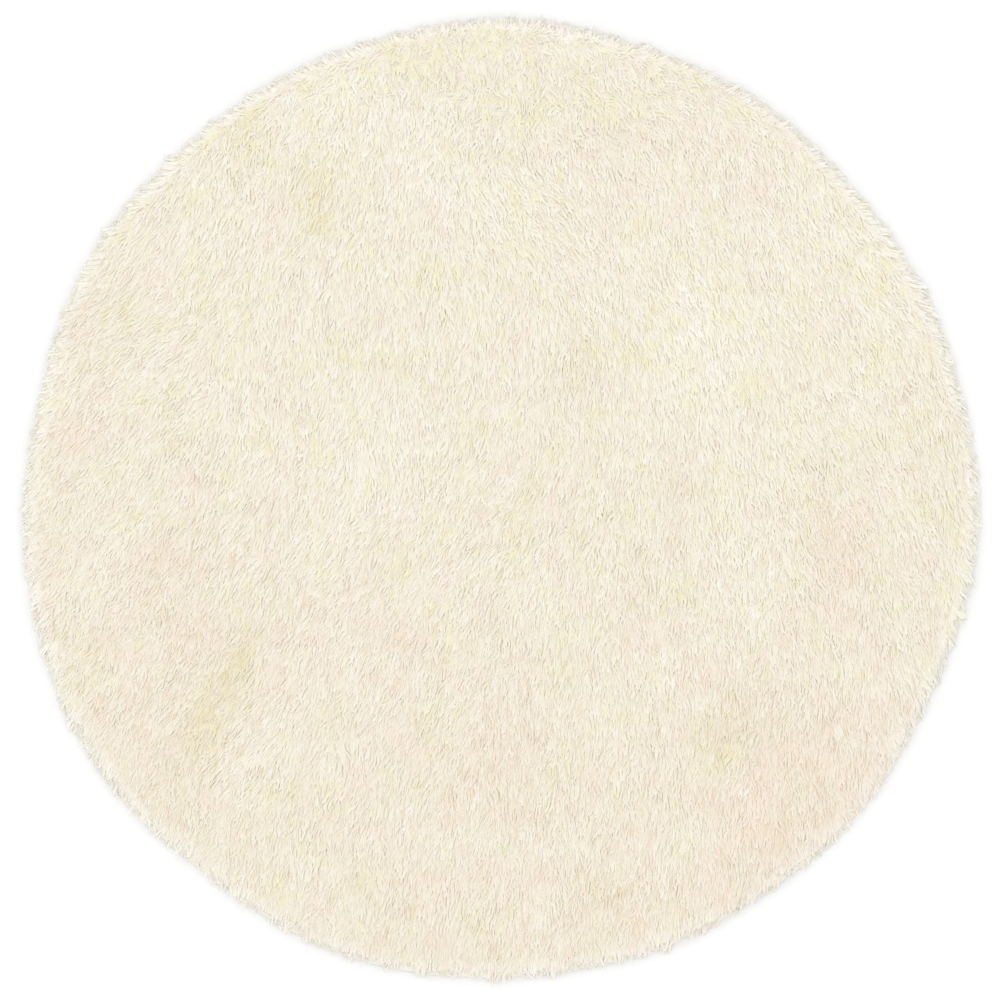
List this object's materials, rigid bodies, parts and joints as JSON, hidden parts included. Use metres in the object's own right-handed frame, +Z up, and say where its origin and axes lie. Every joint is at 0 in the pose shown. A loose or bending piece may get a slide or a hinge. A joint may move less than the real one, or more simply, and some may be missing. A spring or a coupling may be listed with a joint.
{
  "type": "shag rug",
  "caption": "Round cream shag rug: a flat, lumpy bed of long soft pile brushed towards one side, with pointed locks of yarn standing out all round its rim.",
  "frame": {"origin": "middle of the flat underside, on the floor", "axes": "+Z up through the pile, -Y the way the pile is brushed, +X to the right when the rug is seen from above with +Y at the top"},
  "size_m": [1.1976, 1.2021, 0.0319],
  "materials": {
    "pile": "soft matt cream shag yarn"
  },
  "bodies": {
    "root": {"shag_round": "pile"}
  },
  "joints": []
}
